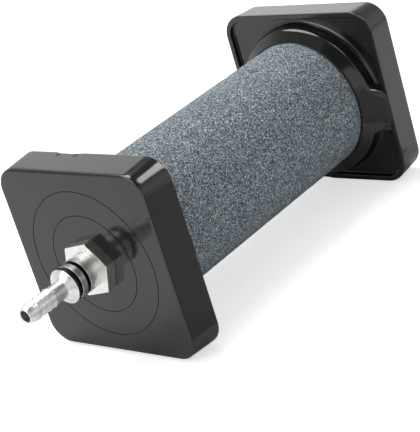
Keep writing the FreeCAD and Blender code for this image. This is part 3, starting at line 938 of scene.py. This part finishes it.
def build_floor():
    """A plain pale floor that shows as white and keeps the object's shadow."""
    mesh = bpy.data.meshes.new("floor")
    signs = ((-1, -1), (1, -1), (1, 1), (-1, 1))
    corners = [(across * FLOOR_REACH, along * FLOOR_REACH, 0) for across, along in signs]
    mesh.from_pydata(corners, [], [(0, 1, 2, 3)])
    floor = bpy.data.objects.new("floor", mesh)
    bpy.context.scene.collection.objects.link(floor)
    material = bpy.data.materials.new("pale_floor")
    material.use_nodes = True
    nodes = material.node_tree.nodes
    links = material.node_tree.links
    nodes.remove(nodes["Principled BSDF"])
    matte = nodes.new("ShaderNodeBsdfDiffuse")
    matte.inputs["Color"].default_value = (FLOOR_SHADE, FLOOR_SHADE, FLOOR_SHADE, 1)
    glow = white_for_rays(nodes, links, FLOOR_GLOW, FLOOR_MIRRORED, 0.0, "ShaderNodeEmission")
    both = nodes.new("ShaderNodeAddShader")
    links.new(matte.outputs[0], both.inputs[0])
    links.new(glow.outputs[0], both.inputs[1])
    links.new(both.outputs[0], nodes["Material Output"].inputs["Surface"])
    mesh.materials.append(material)


def build_card(name, shade, corners):
    """A card that shows only in what is glossy and darkens what it mirrors; the upper card acts as the
    darker side of a studio, the card on the floor as painted shade.
    """
    mesh = bpy.data.meshes.new(name)
    mesh.from_pydata(corners, [], [(0, 1, 2, 3)])
    card = bpy.data.objects.new(name, mesh)
    bpy.context.scene.collection.objects.link(card)
    card.visible_camera = False
    card.visible_diffuse = False
    card.visible_shadow = False
    material = bpy.data.materials.new(name)
    material.use_nodes = True
    shader = material.node_tree.nodes["Principled BSDF"]
    shader.inputs["Base Color"].default_value = (shade, shade, shade, 1)
    shader.inputs["Roughness"].default_value = 1.0
    mesh.materials.append(material)


def build_lamps():
    """Round area lamps that the camera doesn't see."""
    for name, place, size, power, lights_all in LAMPS:
        light = bpy.data.lights.new(name, "AREA")
        light.shape = "DISK"
        light.size = size
        light.energy = power
        lamp = bpy.data.objects.new(name, light)
        lamp.visible_camera = False
        lamp.visible_diffuse = lights_all
        lamp.location = place
        lamp.rotation_mode = "QUATERNION"
        lamp.rotation_quaternion = (Vector(LAMP_AIM) - Vector(place)).to_track_quat("-Z", "Y")
        bpy.context.scene.collection.objects.link(lamp)


def build_camera():
    """The camera that was solved on the object's edges."""
    camera_data = bpy.data.cameras.new("camera")
    camera_data.lens = CAMERA_LENS
    camera_data.sensor_width = CAMERA_SENSOR
    camera_data.clip_start = CAMERA_NEAR
    camera_data.clip_end = CAMERA_FAR
    camera = bpy.data.objects.new("camera", camera_data)
    camera.location = CAMERA_PLACE
    straight = (Vector(CAMERA_AIM) - Vector(CAMERA_PLACE)).to_track_quat("-Z", "Y")
    camera.rotation_mode = "QUATERNION"
    camera.rotation_quaternion = straight @ Quaternion((0, 0, 1), math.radians(CAMERA_ROLL))
    bpy.context.scene.collection.objects.link(camera)
    bpy.context.scene.camera = camera


def dress(piece, node, material):
    """A piece with its material, in the place of the node that it replaces."""
    piece.data.materials.clear()
    piece.data.materials.append(material)
    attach(piece, "root")
    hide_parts(node)


def dress_node(node, material):
    """A node of the part that keeps its own mesh and gets a material."""
    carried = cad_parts[node]
    carried.data.materials.clear()
    carried.data.materials.append(material)


# The scene

bpy.context.scene.view_settings.view_transform = "Standard"
build_camera()
build_world()
build_floor()
for card_name, card_shade, card_corners in CARDS:
    build_card(card_name, card_shade, card_corners)
build_lamps()

plastic = black_plastic()
adhesive = set_adhesive()
dress(build_cap("front_cap_shell", FRONT_FACE, 1, PORT_RADIUS), "front_cap", plastic)
dress(build_cap("rear_cap_shell", REAR_FACE, -1, FACE_CENTRE), "rear_cap", plastic)
dress(build_stone(), "porous_stone", sintered_stone())
dress(build_bond("front_bead", FRONT_FACE, 1), "front_bond", adhesive)
dress(build_bond("rear_bead", REAR_FACE, -1), "rear_bond", adhesive)
dress(build_fitting(), "hose_fitting", plated_brass())
dress_node("sealing_washer", washer_rubber())
dress_node("lock_nut", plain_brass())
